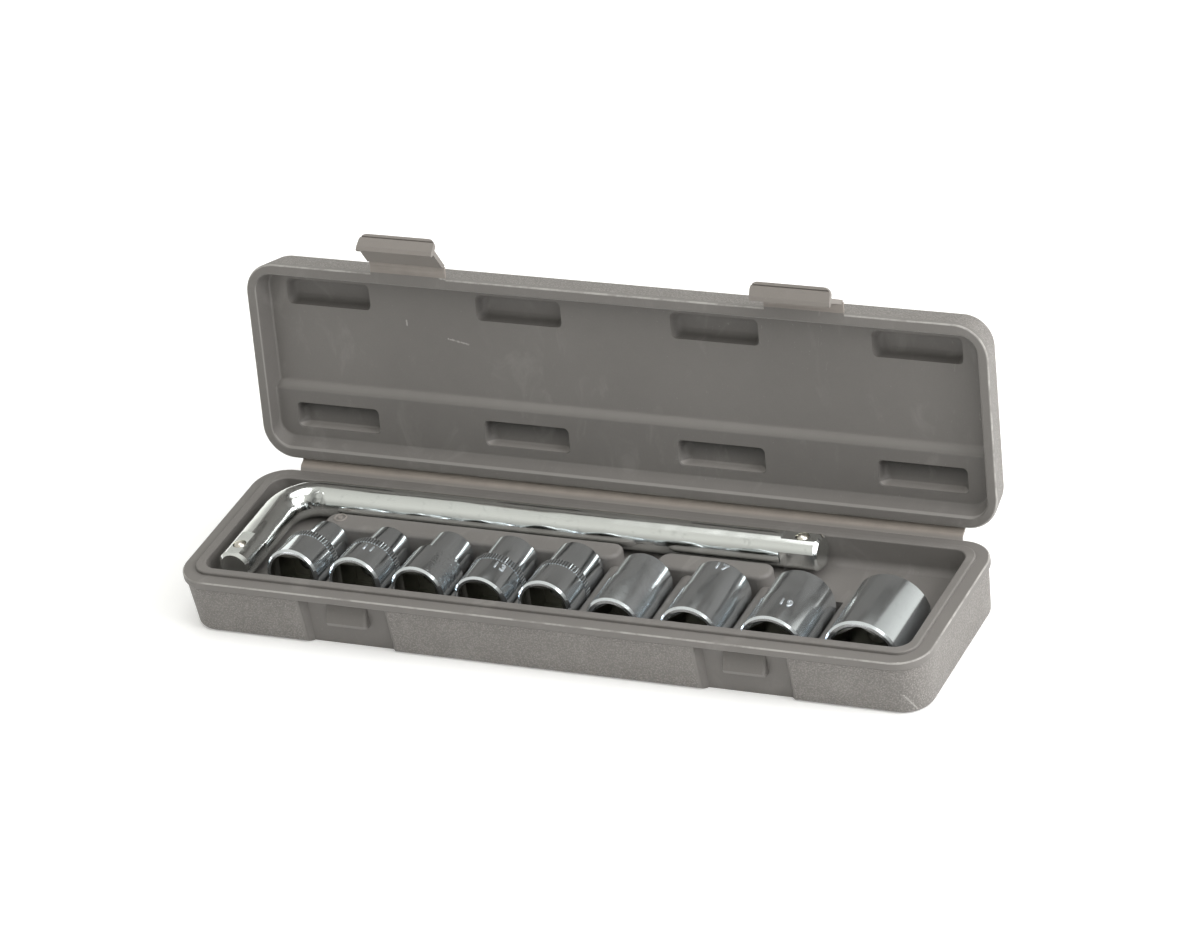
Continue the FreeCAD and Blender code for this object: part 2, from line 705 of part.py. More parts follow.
def detent_spring(place):
    """Spring between the bottom of the hole and the ball, its close coils drawn as rings."""
    outer = BALL / 2 - SPRING_PLAY
    bore = outer - 1.5 * SPRING_WIRE
    reach = BALL / 2 + SPRING_PLAY
    low = place.z - BALL_HOLE_DEPTH + SPRING_PLAY
    high = place.z + BALL_PROUD - BALL / 2 - math.sqrt(reach ** 2 - bore ** 2)
    count = 2 * SPRING_TURNS
    outside = []
    inside = []
    for index in range(count + 1):
        radius = outer if index % 2 else outer - SPRING_WIRE / 2
        z = low + (high - low) * index / count
        outside.append(point(place.x + radius, place.y, z))
        inside.append(point(place.x + radius - SPRING_WIRE, place.y, z))
    corners = outside + inside[::-1]
    section = Part.Face(Part.makePolygon(corners + corners[:1]))
    return section.revolve(place, Z_AXIS, 360)


def regular_prism(across_flats, sides, depth, z):
    """Upright prism with a regular outline."""
    radius = across_flats / 2 / math.cos(math.pi / sides)
    corners = []
    for index in range(sides + 1):
        angle = 2 * math.pi * (index + 0.5) / sides
        corners.append(point(radius * math.cos(angle), radius * math.sin(angle), z))
    return upright(Part.makePolygon(corners), depth)


def upright_socket(socket):
    """One socket standing on its far end, with the end that faces the front on top."""
    size, front_diameter, far_diameter, _, _, front_end = socket
    front = front_diameter / 2
    far = far_diameter / 2
    edge = SOCKET_EDGE
    top = SOCKET_LENGTH
    step = top - SOCKET_STEP
    cone = (front - far) / SOCKET_STEP_CONE
    outline = [(0, 0), (far - edge, 0), (far, edge)]
    if cone > 0:
        outline += [(far, step - cone), (front, step)]
    outline += [(front, top - edge), (front - edge, top), (0, top)]
    corners = [point(x, 0, z) for x, z in outline]
    blank = Part.Face(Part.makePolygon(corners + corners[:1])).revolve(point(0, 0, 0), Z_AXIS, 360)
    square = DRIVE_SQUARE + DRIVE_PLAY
    hexagon = size + HEXAGON_PLAY
    through = Part.makeCylinder(min(SOCKET_THROUGH_BORE, size) / 2, top)
    lead = hexagon / math.cos(math.pi / 6) / 2 + HEXAGON_PLAY
    throat = lead - HEXAGON_LEAD
    if front_end == "drive":
        bore = front - DRIVE_RIM
        drive = regular_prism(square, 4, DRIVE_DEPTH, top - DRIVE_DEPTH)
        counterbore = Part.makeCylinder(bore, DRIVE_COUNTERBORE, point(0, 0, top - DRIVE_COUNTERBORE))
        fixing = regular_prism(hexagon, 6, HEXAGON_DEPTH, 0)
        flare = Part.makeCone(lead, throat, HEXAGON_LEAD)
        return blank.cut([drive, counterbore, fixing, flare, through])
    drive = regular_prism(square, 4, DRIVE_DEPTH, 0)
    fixing = regular_prism(hexagon, 6, HEXAGON_DEPTH, top - HEXAGON_DEPTH)
    flare = Part.makeCone(throat, lead, HEXAGON_LEAD, point(0, 0, top - HEXAGON_LEAD))
    return blank.cut([drive, fixing, flare, through])


def lying_socket(index):
    """One socket in its seat, lying along Y."""
    socket = SOCKETS[index]
    x, z, _ = seat_circle(index)
    setback = STEPPED_SETBACK if is_stepped(socket) else STRAIGHT_SETBACK
    shape = upright_socket(socket)
    shape.translate(point(0, 0, SOCKET_STEP - SOCKET_LENGTH))
    shape.rotate(point(0, 0, 0), X_AXIS, 90 - socket[4])
    shape.translate(point(x, Y_IN_FRONT + setback + SOCKET_STEP, z))
    return shape


def socket_name(socket):
    return "socket_%02d" % round(socket[0])


def latch_pieces(middle, bend):
    """Web and flap of one latch on the open lid, the flap bent towards the case."""
    web = swing_open(flat_web(middle))
    flap = swing_open(turned(flat_flap(middle), FLAP_FOLD, X_AXIS, bend))
    return web, flap


def build():
    """All pieces by name, at rest."""
    pieces = {}
    base = case_base()
    lid = shut_lid()
    pieces["case_base"] = base
    pieces["hinge_leaf_base"] = hinge_leaf(-1, base)
    pieces["case_lid"] = swing_open(lid)
    pieces["hinge_leaf_lid"] = swing_open(hinge_leaf(1, lid))
    left, right = latch_middles()
    pieces["latch_web_left"], pieces["latch_flap_left"] = latch_pieces(left, LATCH_LEFT_BEND)
    pieces["latch_web_right"], pieces["latch_flap_right"] = latch_pieces(right, LATCH_RIGHT_BEND)
    pieces["wrench_bar"] = wrench_bar()
    long_place, short_place = ball_places()
    pieces["detent_ball_long"] = detent_ball(long_place)
    pieces["detent_spring_long"] = detent_spring(long_place)
    pieces["detent_ball_short"] = detent_ball(short_place)
    pieces["detent_spring_short"] = detent_spring(short_place)
    for index, socket in enumerate(SOCKETS):
        pieces[socket_name(socket)] = lying_socket(index)
    return pieces


def main():
    os.makedirs("parts", exist_ok=True)
    for name, shape in build().items():
        shape.exportStep("parts/%s.step" % name)


main()
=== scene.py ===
import math
from collections import namedtuple

import bmesh
import bpy
from bpy.props import FloatProperty, FloatVectorProperty, IntProperty, PointerProperty
from mathutils import Matrix, Vector


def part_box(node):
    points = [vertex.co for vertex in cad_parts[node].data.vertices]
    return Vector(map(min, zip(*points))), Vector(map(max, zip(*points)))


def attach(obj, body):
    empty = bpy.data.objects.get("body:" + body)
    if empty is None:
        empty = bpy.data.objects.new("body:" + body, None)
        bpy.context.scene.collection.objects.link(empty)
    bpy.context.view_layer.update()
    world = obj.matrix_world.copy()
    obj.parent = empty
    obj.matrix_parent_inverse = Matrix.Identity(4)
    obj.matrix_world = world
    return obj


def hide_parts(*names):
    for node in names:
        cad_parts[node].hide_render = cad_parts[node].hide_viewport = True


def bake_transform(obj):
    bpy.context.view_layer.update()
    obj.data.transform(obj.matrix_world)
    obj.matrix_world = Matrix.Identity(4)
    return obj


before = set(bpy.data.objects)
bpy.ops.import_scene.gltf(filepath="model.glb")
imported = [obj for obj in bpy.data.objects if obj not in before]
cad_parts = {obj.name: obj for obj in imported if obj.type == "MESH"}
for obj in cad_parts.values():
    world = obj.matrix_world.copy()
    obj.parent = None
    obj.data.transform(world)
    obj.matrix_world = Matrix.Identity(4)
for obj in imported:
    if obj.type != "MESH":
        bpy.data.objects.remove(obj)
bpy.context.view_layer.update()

bl_info = {
    "name": "Socket Wrench Set",
    "version": (1, 0, 0),
    "blender": (4, 5, 0),
    "location": "3D View > Sidebar > Socket Set",
    "description": "Finishes, small details and a studio stage for a socket wrench set in a case",
    "category": "Object",
}

MM = 0.001


def point(x, y, z):
    """Point given in millimetres."""
    return Vector((x, y, z)) * MM


# The case, in metres, as its solids have it; places in the lid are for the lid shut
CASE_HALF_LENGTH = 154.1 * MM
CASE_HALF_DEPTH = 40.6 * MM
CASE_CORNER = 13.0 * MM
LATCH_X = 82.0 * MM
RECESS_HALF = 19.4 * MM
PARTING = 24.3 * MM
LID_TOP = PARTING + 16.5 * MM
FLANGE_UNDERSIDE = 20.6 * MM
RIM_WIDTH = 4.4 * MM
FRONT_PANEL = PARTING + 8.5 * MM
BACK_PANEL = PARTING + 5.5 * MM
DISH_STEP = 13.4 * MM
DISH_STEP_SLOPE = 2.4 * MM
BACK_POCKETS = (18.8 * MM, 29.3 * MM)

# The folds with the lid open: the film hinge, and each latch's fold at the lid and at the flap
HINGE = point(0.0, 42.8, 25.9)
HINGE_OUT = 2.2 * MM
HINGE_UP = 1.9 * MM
LID_OPEN = math.radians(99.4)
WEB_FOLD = point(0.0, 54.941, 109.033)
FLAP_FOLD = point(0.0, 55.643, 113.276)
FLAP_BENDS = {"left": math.radians(38.0), "right": math.radians(66.0)}

# The strips of film: their mesh, and the run of their ragged ends
FILM_COLUMNS = 60
FILM_ROWS = 20
RAGGED_WAVES = 5
RAGGED_POWER = 8

# White creases in the plastic with the lid open, from point to point
BASE_CREASES = (
    (point(144.6, -38.2, 8.8), point(146.7, -36.9, 4.9)),
    (point(146.7, -36.9, 4.9), point(148.0, -35.8, 1.8)),
)
LID_CREASES = (
    (point(-68.6, 54.9, 108.7), point(-61.0, 54.8, 108.3)),
    (point(-58.5, 54.8, 108.1), point(-52.1, 54.8, 108.1)),
    (point(-72.0, 58.7, 79.3), point(-63.5, 58.4, 77.8)),
    (point(-89.4, 59.7, 85.3), point(-89.4, 59.4, 83.3)),
)

# How far scuffs, dust, smudges and creases, and the painted highlights on the rim's inner edge and
# the lid's step, take the plastic to its rubbed colour; how much painted shade darkens the lid's
# pockets and back panel, and how much a painted highlight lightens the pockets' lips
SCUFF_WEAR = 0.34
DUST_WEAR = 0.16
SMUDGE_WEAR = 0.10
MOUTH_HIGHLIGHT = 0.4
STEP_HIGHLIGHT = 0.19
CREASE_WEAR = 0.75
# Painted shade in the lid's pockets and on its back panel, and a painted highlight on the pockets'
# lips
FRONT_POCKET_SHADE = 0.16
BACK_POCKET_SHADE = (0.54, 0.06)
BACK_PANEL_SHADE = 0.13
POCKET_LIP_HIGHLIGHT = 0.55

# Leather grain, in widths of a pebble: size and reach of the swirl in it, and size of its grit; and
# the height below which the grain gets painted shade, and above which its pebbles get painted light
SWIRL_SIZE = 2.2
SWIRL_REACH = 0.9
GRIT_SIZE = 0.45
GRAIN_LEVEL = 0.55

# The round mark on the ridge: its middle, and the reach and bead's radius of its ring and its dot
RIDGE_MARK = point(-108.5, 14.2, 22.0)
MARK_BEADS = ((2.3 * MM, 0.42 * MM), (0.55 * MM, 0.5 * MM))
MARK_STEPS = 36
BEAD_SIDES = 8

# The wrench: where the inside of its bend is pinched, and the steps in each turn of its springs
PINCH = point(-120.9, 19.0, 25.8)
COIL_STEPS = 24

# The sockets: number, outside of the front and far ends, lean in degrees, height of the axis and
# place of the step, with lengths in millimetres
Socket = namedtuple("Socket", "number front far lean height step")
SOCKETS = (
    Socket("10", 22.0, 15.5, 6.5, 19.0, -8.6),
    Socket("11", 22.0, 16.0, 5.5, 19.0, -8.6),
    Socket("12", 22.0, 17.0, 3.0, 19.0, -8.6),
    Socket("13", 22.0, 18.5, 0.0, 19.0, -8.6),
    Socket("14", 22.0, 20.0, 3.5, 19.0, -8.6),
    Socket("15", 22.0, 21.0, 0.0, 19.0, -12.4),
    Socket("17", 24.0, 23.4, 0.0, 18.0, -12.4),
    Socket("19", 26.0, 25.4, 0.0, 17.0, -12.4),
    Socket("22", 30.0, 30.0, 0.0, 17.3, -12.4),
)

# The ends of every socket from its step, and how fast its outside narrows on the cone there
SOCKET_FRONT = 17.0 * MM
SOCKET_FAR = -15.5 * MM
STEP_CONE = 1.6

# Lustre of the chrome: brightness and strength of its stains, roughness at the least, what clouds
# add to it, and depth of the waves; bright where nothing else is said, and pitted on one
Lustre = namedtuple("Lustre", "stain_brightness stain roughness cloudiness waviness")
BRIGHT = Lustre(0.78, 0.3, 0.06, 0.13, 0.08 * MM)
SATIN = Lustre(0.78, 0.3, 0.11, 0.13, 0.08 * MM)
DULL = Lustre(0.58, 0.8, 0.12, 0.19, 0.12 * MM)
LUSTRES = {"15": DULL, "17": SATIN, "19": SATIN, "22": SATIN}
PITTED = "12"

# Knurled bands: sockets with one, heights round a tooth, distance from the step, depth of the root
KNURLED = ("10", "11", "13", "14")
TOOTH = (1.0, 0.4, 0.08, 0.4)
KNURL_START = 0.25 * MM
KNURL_ROOT = 0.3 * MM

# Raised numbers: angle from the socket's top in degrees, and place from the step in millimetres
NUMBERS = {"11": (14.0, 8.5), "13": (26.0, 8.0), "17": (12.0, -10.5), "19": (14.0, 7.5)}

# Their lettering: height as a share of the font's size, bevel as a share of the relief, spacing
NUMBER_SHARE = 0.7
NUMBER_BEVEL = 0.4
NUMBER_SPACING = 1.2

# The stage: sine of the elevation from which the tent is brightest, and in metres the floor, what
# the lights face, and the soft boxes by place and size
TENT_SHOULDER = 0.7
FLOOR_HALF = 6.0
LIGHT_AIM = Vector((0.0, 0.0, 0.03))
LIGHTS = {
    "key": ((0.95, -0.60, 1.15), 1.0),
    "side": ((1.30, 0.0, 0.65), 1.0),
    "rim": ((1.05, 0.40, 1.10), 1.0),
    "top": ((0.0, 0.10, 1.70), 1.2),
}

# The camera: place in metres, turn in degrees, width of the sensor in millimetres
CAMERA_PLACE = (0.86542, -1.48883, 1.10161)
CAMERA_TURN = (58.4673, 8.9969, 24.2068)
CAMERA_SENSOR = 36.0


class Nodes:
    """Puts shader nodes together."""

    def __init__(self, tree):
        self.tree = tree

    def plug(self, value, socket):
        """Links a node's output to a socket, or sets the socket to a constant."""
        if isinstance(value, bpy.types.NodeSocket):
            self.tree.links.new(value, socket)
        elif socket.type == "RGBA":
            socket.default_value = (*value, 1.0)
        else:
            socket.default_value = value

    def add(self, kind, inputs, **settings):
        node = self.tree.nodes.new("ShaderNode" + kind)
        for name, value in settings.items():
            setattr(node, name, value)
        for key, value in inputs.items():
            self.plug(value, node.inputs[key])
        return node

    def moved(self, vector, matrix):
        """Vector taken through a rigid transform."""
        turn = matrix.to_euler("XYZ")
        inputs = {"Vector": vector, "Location": matrix.translation, "Rotation": turn}
        return self.add("Mapping", inputs).outputs[0]

    def stretched(self, vector, scale):
        return self.add("Mapping", {"Vector": vector, "Scale": scale}).outputs[0]

    def parts(self, vector):
        return self.add("SeparateXYZ", {0: vector}).outputs

    def joined(self, x, y, z):
        return self.add("CombineXYZ", {0: x, 1: y, 2: z}).outputs[0]

    def math(self, operation, a, b=0.0):
        return self.add("Math", {0: a, 1: b}, operation=operation).outputs[0]

    def chained(self, operation, values):
        result = values[0]
        for value in values[1:]:
            result = self.math(operation, result, value)
        return result

    def times(self, *values):
        return self.chained("MULTIPLY", values)

    def plus(self, *values):
        return self.chained("ADD", values)

    def most(self, *values):
        return self.chained("MAXIMUM", values)

    def less(self, a, b):
        return self.math("SUBTRACT", a, b)

    def absolute(self, value):
        return self.math("ABSOLUTE", value)

    def varied(self, base, *layers):
        """Base with a share of each layer added to it."""
        shares = [self.times(layer, share) for layer, share in layers]
        return self.plus(*shares, base)

    def ramp(self, value, low, high, bottom=0.0, top=1.0):
        """Smooth step from bottom to top as value goes from low to high."""
        inputs = {
            "Value": value,
            "From Min": low,
            "From Max": high,
            "To Min": bottom,
            "To Max": top,
        }
        return self.add("MapRange", inputs, interpolation_type="SMOOTHSTEP").outputs[0]

    def fall(self, value, low, high, start=1.0):
        """Smooth step from start down to nothing as value goes from low to high."""
        return self.ramp(value, low, high, start, 0.0)

    def band(self, value, middle, half, soft):
        """One within half of middle, falling to nothing over soft."""
        return self.fall(self.absolute(self.less(value, middle)), half, half + soft)

    def noise(self, vector, size, detail=3.0, roughness=0.55, distortion=0.0):
        """Noise whose lumps are about size across."""
        inputs = {
            "Vector": vector,
            "Scale": 1.0 / size,
            "Detail": detail,
            "Roughness": roughness,
            "Distortion": distortion,
        }
        return self.add("TexNoise", inputs).outputs["Fac"]

    def cells(self, vector, size, feature="F1"):
        """Distance from the middles of cells about size across."""
        inputs = {"Vector": vector, "Scale": 1.0 / size}
        return self.add("TexVoronoi", inputs, feature=feature).outputs["Distance"]

    def blend(self, factor, a, b):
        """Colour a where factor is nothing, b where it is one."""
        node = self.tree.nodes.new("ShaderNodeMix")
        node.data_type = "RGBA"
        self.plug(factor, node.inputs[0])
        self.plug(a, node.inputs[6])
        self.plug(b, node.inputs[7])
        return node.outputs[2]

    def bump(self, height, depth, normal=None):
        node = self.add("Bump", {"Height": height, "Distance": depth, "Strength": 1.0})
        if normal is not None:
            self.plug(normal, node.inputs["Normal"])
        return node.outputs[0]

    def vector(self, operation, a, b=(0.0, 0.0, 0.0), output=0):
        return self.add("VectorMath", {0: a, 1: b}, operation=operation).outputs[output]

    def scaled(self, a, factor):
        return self.add("VectorMath", {0: a, "Scale": factor}, operation="SCALE").outputs[0]

    def length(self, a):
        return self.vector("LENGTH", a, output="Value")

    def beyond(self, x, y, half_length, half_depth, corner):
        """Distance outside an upright rounded rectangle, less than nothing inside it."""
        aside = self.less(self.absolute(x), half_length - corner)
        along = self.less(self.absolute(y), half_depth - corner)
        arm = self.vector("MAXIMUM", self.joined(aside, along, 0.0))
        return self.less(self.length(arm), corner)

    def away_from(self, vector, start, end):
        """Distance to the straight line between two points."""
        run = end - start
        arm = self.vector("SUBTRACT", vector, start)
        share = self.vector("DOT_PRODUCT", arm, run / run.length_squared, "Value")
        share = self.math("MINIMUM", self.most(share, 0.0), 1.0)
        return self.length(self.vector("SUBTRACT", arm, self.scaled(run, share)))


class Finish(Nodes):
    """A procedural material being put together from nodes."""

    def __init__(self, name):
        self.material = bpy.data.materials.new(name)
        self.material.use_nodes = True
        super().__init__(self.material.node_tree)
        self.surface = self.tree.nodes["Principled BSDF"]

    def place(self):
        return self.add("TexCoord", {}).outputs["Object"]

    def facing(self):
        return self.add("TexCoord", {}).outputs["Normal"]

    def finish(self, **inputs):
        """Sets the shader's inputs, named with underscores, and gives back the material."""
        for name, value in inputs.items():
            self.plug(value, self.surface.inputs[name.replace("_", " ")])
        return self.material


def dimmed(colour, share):
    """Colour at a share of its brightness."""
    return tuple(share * part for part in colour)


def coat(node, material):
    """Gives a solid its finish."""
    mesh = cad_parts[node].data
    mesh.materials.clear()
    mesh.materials.append(material)


def linked(name, data):
    """New object in the scene."""
    thing = bpy.data.objects.new(name, data)
    bpy.context.scene.collection.objects.link(thing)
    return thing


def add_piece(mesh, material):
    """Makes a mesh a piece with a finish, under the mesh's name."""
    mesh.materials.append(material)
    return linked(mesh.name, mesh)


def vertices(made):
    """The vertices among what a bmesh operator made."""
    return [item for item in made["geom"] if isinstance(item, bmesh.types.BMVert)]


def closed_mesh(name, shape):
    """Ends a bmesh: welds it, turns its faces outwards and gives back its mesh."""
    bmesh.ops.remove_doubles(shape, verts=shape.verts, dist=1e-7)
    bmesh.ops.recalc_face_normals(shape, faces=shape.faces)
    mesh = bpy.data.meshes.new(name)
    shape.to_mesh(mesh)
    shape.free()
    return mesh


def standing_bead(shape, radius, reach):
    """Small circle that stands upright, reach out from the axis it is spun round."""
    bead = bmesh.ops.create_circle(
        shape, cap_ends=False, segments=BEAD_SIDES, radius=radius)["verts"]
    upright = Matrix.Translation((reach, 0, 0)) @ Matrix.Rotation(math.radians(90), 4, "X")
    bmesh.ops.transform(shape, matrix=upright, verts=bead)
    return bead + list({edge for vert in bead for edge in vert.link_edges})


def socket_frame(socket):
    """Frame of a socket: its axis is Z, with the step at zero and the front end up."""
    low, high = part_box("socket_" + socket.number)
    middle = Vector(((low.x + high.x) / 2, socket.step * MM, socket.height * MM))
    return Matrix.Translation(middle) @ Matrix.Rotation(math.radians(90 - socket.lean), 4, "X")


def shut_place(look):
    """Place on the lid as if it were shut, and the same for the way a face points."""
    turn = Matrix.Rotation(LID_OPEN, 4, "X")
    shut = Matrix.Translation(HINGE) @ turn @ Matrix.Translation(-HINGE)
    return look.moved(look.place(), shut), look.moved(look.facing(), turn)


def worn_and_highlit_places(look, case, place, z, slant, outward):
    """How far the plastic goes pale: scuffs, dust, smudges, the rim's outer edge rubbed pale with a
    painted highlight in it, and a painted highlight on the rim's inner edge.
    """
    along = look.stretched(place, (1.0, 0.22, 0.35))
    streak = look.noise(along, size=2.4 * MM, detail=5.0, roughness=0.62, distortion=1.6)
    patch = look.ramp(look.noise(place, size=26 * MM, detail=2.0), 0.56, 0.70)
    scuff = look.times(look.ramp(streak, 0.64, 0.75), patch)
    dust = look.ramp(look.noise(place, size=0.9 * MM, detail=1.0), 0.74, 0.82)
    wide = look.stretched(place, (1.0, 0.7, 0.5))
    haze = look.noise(wide, size=12 * MM, detail=4.0, roughness=0.6, distortion=0.8)
    smudge = look.ramp(haze, 0.54, 0.74, top=SMUDGE_WEAR)
    pale_share = look.most(look.times(scuff, SCUFF_WEAR), look.times(dust, DUST_WEAR), smudge)

    # The rim's outer edge goes pale: partly rubbed, partly a painted highlight along it
    edge_height = look.band(z, PARTING, half=1.0 * MM, soft=0.2 * MM)
    edge_slope = look.band(look.absolute(slant), 0.62, half=0.26, soft=0.1)
    touch = look.noise(place, size=9 * MM, detail=4.0, roughness=0.65)
    rubbed = look.ramp(touch, 0.34, 0.62, bottom=0.3)
    rim = look.ramp(outward, -1.3 * MM, -0.9 * MM)
    edge = look.times(edge_height, rim, edge_slope, rubbed)
    # Painted highlight along the rim's inner edge, at its mouth
    inner = look.band(outward, -RIM_WIDTH, half=0.4 * MM, soft=0.2 * MM)
    mouth = look.times(edge_height, inner, edge_slope, MOUTH_HIGHLIGHT)
    return look.most(pale_share, look.times(look.plus(edge, mouth), case.edge_wear_and_highlight))


def pebbles(look, case, place):
    """Height of the leather grain, from nothing in its grooves to about one on its pebbles."""
    scale = 1 / (SWIRL_SIZE * case.grain)
    warp = look.add("TexNoise", {"Vector": place, "Scale": scale, "Detail": 2.0}).outputs["Color"]
    swirl = look.vector("ADD", place, look.scaled(warp, SWIRL_REACH * case.grain))
    pebble = look.fall(look.cells(swirl, size=case.grain), 0.10, 0.70)
    grit = look.noise(swirl, size=GRIT_SIZE * case.grain, detail=2.0)
    return look.plus(look.times(pebble, 0.65), look.times(grit, 0.5))


def grained_skin(look, lid, x, y, z, outward):
    """One where the plastic is grained: outside, clear of the rim and the latches' recesses."""
    skin = look.ramp(outward, -3.4 * MM, -3.1 * MM)
    if lid:
        top = look.ramp(z, LID_TOP - 1.2 * MM, LID_TOP - 0.9 * MM)
        clear = look.ramp(z, PARTING + 2.2 * MM, PARTING + 2.6 * MM)
        return look.most(look.times(skin, clear), top)
    clear = look.fall(z, FLANGE_UNDERSIDE - 0.6 * MM, FLANGE_UNDERSIDE - 0.3 * MM)
    from_latch = look.absolute(look.less(look.absolute(x), LATCH_X))
    aside = look.ramp(from_latch, RECESS_HALF - 0.2 * MM, RECESS_HALF + 0.2 * MM)
    behind = look.ramp(y, -CASE_CORNER, 0.0)
    return look.times(skin, clear, look.most(aside, behind))


def painted_pocket_shade(look, y, z, within):
    """Share of the lid's colour left by painted shade. The painted shade lies in the pockets, most
    at the front of the back row's, and thinly on the back panel; a painted highlight lightens the
    lips behind the back row's pockets."""
    step = (DISH_STEP - DISH_STEP_SLOPE, DISH_STEP)
    panel = look.ramp(y, *step, bottom=FRONT_PANEL, top=BACK_PANEL)
    back = look.ramp(y, *step)
    sunk = look.ramp(look.less(z, panel), 0.2 * MM, 2.4 * MM)
    inside = look.fall(z, LID_TOP - 2.2 * MM, LID_TOP - 1.4 * MM)
    start, end = BACK_POCKETS
    back_row = look.ramp(y, start + 0.5 * MM, end - 1.5 * MM, *BACK_POCKET_SHADE)
    front_row = look.fall(back, 0.0, 1.0, start=FRONT_POCKET_SHADE)
    # Painted shade, deepest at the front of the back row's pockets and thin on the back panel
    pockets = look.times(look.most(look.times(back, back_row), front_row), sunk)
    painted_shade = look.plus(pockets, look.times(back, BACK_PANEL_SHADE))
    # Painted highlight on the lips behind the back row's pockets
    lip = look.band(y, end, half=1.2 * MM, soft=0.5 * MM)
    painted_highlight = look.times(lip, look.ramp(sunk, 0.0, 0.15), -POCKET_LIP_HIGHLIGHT)
    return look.less(1.0, look.times(look.plus(painted_shade, painted_highlight), inside, within))


def moulded_plastic(name, case, lid=False, grained=True, strained=0.0):
    """Warm grey moulded plastic: grained outside with painted light and shade on the grain, smooth
    inside, rubbed pale on the rim's outer edge with a painted highlight in it and a painted
    highlight on its inner edge; the lid has painted shade in its pockets and painted highlights on
    its step and the pockets' lips.
    """
    look = Finish(name)
    place = look.place()
    shut, facing = shut_place(look) if lid else (place, look.facing())
    x, y, z = look.parts(shut)
    slant = look.parts(facing)[2]
    outward = look.beyond(x, y, CASE_HALF_LENGTH, CASE_HALF_DEPTH, CASE_CORNER)
    drift = look.noise(place, size=45 * MM, detail=2.0)
    cloud = look.noise(place, size=6 * MM, detail=4.0, roughness=0.6)
    speck = look.noise(place, size=0.5 * MM, detail=2.0)
    tone = look.varied(0.81, (drift, 0.16), (cloud, 0.10), (speck, 0.12))
    normal = look.bump(look.noise(place, size=18 * MM, detail=1.0), depth=0.25 * MM)
    normal = look.bump(look.noise(place, size=0.35 * MM, detail=2.0), 0.012 * MM, normal)
    rough = look.varied(0.40, (cloud, 0.16))
    pale_share = worn_and_highlit_places(look, case, place, z, slant, outward)
    if grained:
        skin = grained_skin(look, lid, x, y, z, outward)
        relief = pebbles(look, case, place)
        normal = look.bump(look.times(relief, skin), case.grain_depth, normal)
        # Painted shade down in the grain and painted light on its pebbles' tops
        grain_light_and_shade = look.times(look.less(relief, GRAIN_LEVEL), skin, case.grain_shading)
        pale = look.varied(1.0, (skin, case.grain_paleness))
        tone = look.times(tone, look.plus(grain_light_and_shade, 1.0), pale)
        rough = look.plus(rough, look.times(skin, 0.10))
    if lid:
        within = look.fall(outward, -8 * MM, -5.5 * MM)
        # Painted shade in the pockets and on the back panel, with a painted highlight on the
        # pockets' lips
        tone = look.times(tone, painted_pocket_shade(look, y, z, within))
        # Painted highlight along the slope of the step in the lid's dish
        middle = DISH_STEP - 0.6 * DISH_STEP_SLOPE
        slope = look.band(y, middle, half=0.1 * MM, soft=DISH_STEP_SLOPE)
        inside = look.fall(slant, -0.3, -0.1)
        pale_share = look.most(pale_share, look.times(slope, within, inside, STEP_HIGHLIGHT))
    if grained:
        ragged = look.times(look.noise(place, size=0.9 * MM), 1.1 * MM)
        for crease in LID_CREASES if lid else BASE_CREASES:
            crack = look.plus(look.away_from(place, *crease), ragged)
            pale_share = look.most(pale_share, look.fall(crack, 0.45 * MM, 1.1 * MM, start=CREASE_WEAR))
    shade = Vector(case.plastic).lerp(Vector(case.film), strained)
    colour = look.blend(pale_share, look.scaled(shade, tone), case.rubbed)
    return look.finish(
        Base_Color=colour, Roughness=rough, Specular_IOR_Level=case.gloss, Normal=normal)


def stretched_film(name, shade, plain=None):
    """Thin film gone pale and beige, lined along its fold; plain colours it away from the hinge."""
    look = Finish(name)
    place = look.place()
    cloud = look.noise(place, size=7 * MM, detail=4.0, roughness=0.6)
    line = look.noise(look.stretched(place, (0.04, 1.0, 1.0)), size=0.7 * MM, roughness=0.6)
    mixed = look.plus(look.times(cloud, 0.6), look.times(line, 0.5))
    colour = look.blend(look.ramp(mixed, 0.36, 0.74), dimmed(shade, 0.82), shade)
    if plain is not None:
        aside = Vector((CASE_HALF_LENGTH, 0.0, 0.0))
        from_fold = look.away_from(place, HINGE - aside, HINGE + aside)
        colour = look.blend(look.ramp(from_fold, 0.7 * MM, 2.6 * MM), colour, plain)
    normal = look.bump(line, depth=0.05 * MM)
    normal = look.bump(look.noise(place, size=12 * MM, detail=2.0), 0.3 * MM, normal)
    rough = look.varied(0.40, (cloud, 0.2))
    return look.finish(Base_Color=colour, Roughness=rough, Normal=normal)


